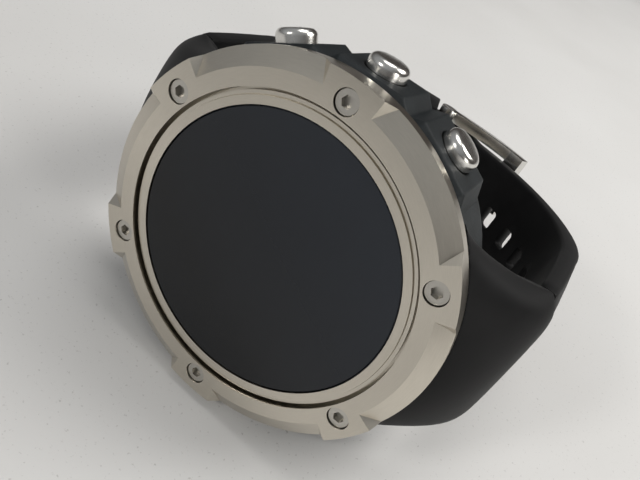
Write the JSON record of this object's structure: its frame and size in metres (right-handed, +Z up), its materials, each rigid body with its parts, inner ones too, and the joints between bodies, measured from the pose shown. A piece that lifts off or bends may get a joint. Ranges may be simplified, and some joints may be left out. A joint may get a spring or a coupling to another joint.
{
  "type": "dive computer",
  "caption": "Wrist dive computer: round steel bezel on screws, dark lens, polymer case with side pushers, silicone strap on a pin buckle.",
  "frame": {"origin": "on the table at the middle of the watch's overall box, under it", "axes": "+Z up with the watch lying on its side; the display faces -Y and leans back by 10.7 degrees; +X to the viewer's right, pushers at the top"},
  "size_m": [0.0686, 0.0826, 0.0524],
  "materials": {
    "steel": "circular brushed stainless steel",
    "polished_steel": "polished stainless steel",
    "screw_steel": "satin stainless steel",
    "glass": "mineral glass, clear",
    "case_polymer": "fine-grained fibre-reinforced polymer",
    "strap_silicone": "matte silicone",
    "seal_rubber": "nitrile rubber",
    "display": "unlit display",
    "white_plastic": "diffuser film",
    "board": "circuit board laminate",
    "cell": "pouch foil",
    "gold": "gold-plated contacts",
    "inner_plastic": "moulded polymer"
  },
  "bodies": {
    "watch": {"bezel": "steel", "bezel_screws": "screw_steel", "lens_ring": "steel", "lens": "glass", "lens_gasket": "seal_rubber", "case_gasket": "seal_rubber", "display_mask": "display", "display_panel": "display", "backlight_diffuser": "white_plastic", "inner_frame": "inner_plastic", "main_board": "board", "shield_cans": "cell", "battery_pad": "inner_plastic", "battery": "cell", "vibration_motor": "cell", "beeper": "gold", "tactile_switches": "inner_plastic", "case": "case_polymer", "depth_sensor": "cell", "port_cover": "steel", "back_cover": "steel", "back_screws": "screw_steel", "charging_contacts": "gold", "sensor_window": "glass", "optical_sensor": "board", "back_gasket": "seal_rubber", "pusher_spring_1": "screw_steel", "pusher_spring_2": "screw_steel", "pusher_spring_3": "screw_steel", "pusher_seals": "seal_rubber", "long_strap": "strap_silicone", "short_strap": "strap_silicone", "strap_end_right": "strap_silicone", "strap_end_left": "strap_silicone", "strap_pins": "polished_steel", "buckle_bar": "polished_steel", "fixed_keeper": "strap_silicone"},
    "pusher_1": {"pusher_1": "polished_steel", "pusher_clip_1": "screw_steel"},
    "pusher_2": {"pusher_2": "polished_steel", "pusher_clip_2": "screw_steel"},
    "pusher_3": {"pusher_3": "polished_steel", "pusher_clip_3": "screw_steel"},
    "buckle_frame": {"buckle_frame": "polished_steel"},
    "buckle_tongue": {"buckle_tongue": "polished_steel"},
    "free_keeper": {"free_keeper": "strap_silicone"}
  },
  "joints": [
    {"name": "pusher_1_press", "type": "slide", "parent": "watch", "child": "pusher_1", "axis": [0.4818, -0.1622, -0.8612], "range_m": [0, 0.0008], "stiffness_N_per_m": 400, "springref_m": -0.003, "deforming": ["pusher_spring_1"]},
    {"name": "pusher_2_press", "type": "slide", "parent": "watch", "child": "pusher_2", "axis": [0.0175, -0.1851, -0.9826], "range_m": [0, 0.0008], "stiffness_N_per_m": 400, "springref_m": -0.003, "deforming": ["pusher_spring_2"]},
    {"name": "pusher_3_press", "type": "slide", "parent": "watch", "child": "pusher_3", "axis": [-0.4509, -0.1652, -0.8772], "range_m": [0, 0.0008], "stiffness_N_per_m": 400, "springref_m": -0.003, "deforming": ["pusher_spring_3"]},
    {"name": "buckle_hinge", "type": "hinge", "parent": "watch", "child": "buckle_frame", "pos_m": [-0.00314, 0.03303, 0.01347], "axis": [0, 0.1851, 0.9827], "range_deg": [0, 4]},
    {"name": "tongue_hinge", "type": "hinge", "parent": "buckle_frame", "child": "buckle_tongue", "pos_m": [-0.00314, 0.03303, 0.01347], "axis": [0, 0.1851, 0.9827], "range_deg": [0, 4]},
    {"name": "keeper_slide", "type": "slide", "parent": "watch", "child": "free_keeper", "axis": [0.8671, 0.4896, -0.0922], "range_m": [-0.002, 0.002]}
  ]
}
